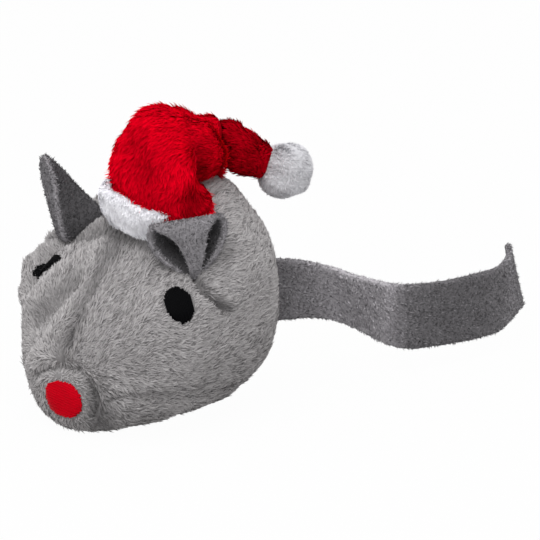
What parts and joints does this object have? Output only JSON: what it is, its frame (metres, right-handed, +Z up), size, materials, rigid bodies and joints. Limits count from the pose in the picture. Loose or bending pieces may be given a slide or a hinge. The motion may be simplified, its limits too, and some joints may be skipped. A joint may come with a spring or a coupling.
{
  "type": "catnip mouse toy",
  "caption": "Stuffed plush cat toy in the form of a mouse, with felt ears and tail, embroidered eyes and nose, and a sewn-on winter hat with a pompom.",
  "frame": {"origin": "centre of the small flat patch of the belly that the mouse rests on", "axes": "+Y to the rear along the tail, nose to -Y, +X to the mouse's own left side, +Z up"},
  "size_m": [0.081, 0.1853, 0.0943],
  "materials": {
    "grey_plush": "short warm grey pile",
    "grey_felt": "felted darker grey cloth",
    "red_plush": "long red pile",
    "white_pile": "fluffy white pile",
    "black_embroidery": "black satin stitch",
    "red_embroidery": "red satin stitch",
    "grey_thread": "sewing thread",
    "fibre": "loose polyester fibre",
    "sachet_cloth": "thin non-woven cloth",
    "dried_catnip": "crushed dried leaf"
  },
  "bodies": {
    "mouse": {"belly_panel": "grey_plush", "left_side_panel": "grey_plush", "right_side_panel": "grey_plush", "sachet_upper_sheet": "sachet_cloth", "sachet_lower_sheet": "sachet_cloth", "dried_catnip": "dried_catnip", "front_fibre_wad": "fibre", "rear_fibre_wad": "fibre", "left_eye": "black_embroidery", "right_eye": "black_embroidery", "nose": "red_embroidery", "dorsal_seam_thread": "grey_thread", "left_belly_seam_thread": "grey_thread", "right_belly_seam_thread": "grey_thread", "left_dart_thread": "grey_thread", "right_dart_thread": "grey_thread", "tail_seam_tab": "grey_felt", "hat_cuff": "white_pile", "hat_crown": "red_plush"},
    "tail": {"tail": "grey_felt"},
    "left_ear": {"left_ear": "grey_felt"},
    "right_ear": {"right_ear": "grey_felt"},
    "hat_tip": {"hat_tip": "red_plush"},
    "pompom": {"pompom": "white_pile"}
  },
  "joints": [
    {"name": "tail_swing", "type": "hinge", "parent": "mouse", "child": "tail", "pos_m": [0, 0.0367, 0.0273], "axis": [0, 0, 1], "range_deg": [-45, 45], "stiffness_Nm_per_rad": 0.001},
    {"name": "left_ear_fold", "type": "hinge", "parent": "mouse", "child": "left_ear", "pos_m": [0.028, -0.0106, 0.0506], "axis": [0.7071, 0.7071, 0], "range_deg": [0, 20], "stiffness_Nm_per_rad": 0.0006},
    {"name": "right_ear_fold", "type": "hinge", "parent": "mouse", "child": "right_ear", "pos_m": [-0.0209, -0.0093, 0.0525], "axis": [0.8419, 0.274, 0.4649], "range_deg": [0, 18], "stiffness_Nm_per_rad": 0.0006},
    {"name": "hat_tip_flop", "type": "hinge", "parent": "mouse", "child": "hat_tip", "pos_m": [0.0098, 0.0194, 0.0872], "axis": [0.9511, -0.309, 0], "range_deg": [0, 45], "stiffness_Nm_per_rad": 0.0015},
    {"name": "pompom_wobble", "type": "hinge", "parent": "hat_tip", "child": "pompom", "pos_m": [0.0151, 0.0313, 0.0714], "axis": [0.9511, -0.309, 0], "range_deg": [-15, 15], "stiffness_Nm_per_rad": 0.0008}
  ]
}
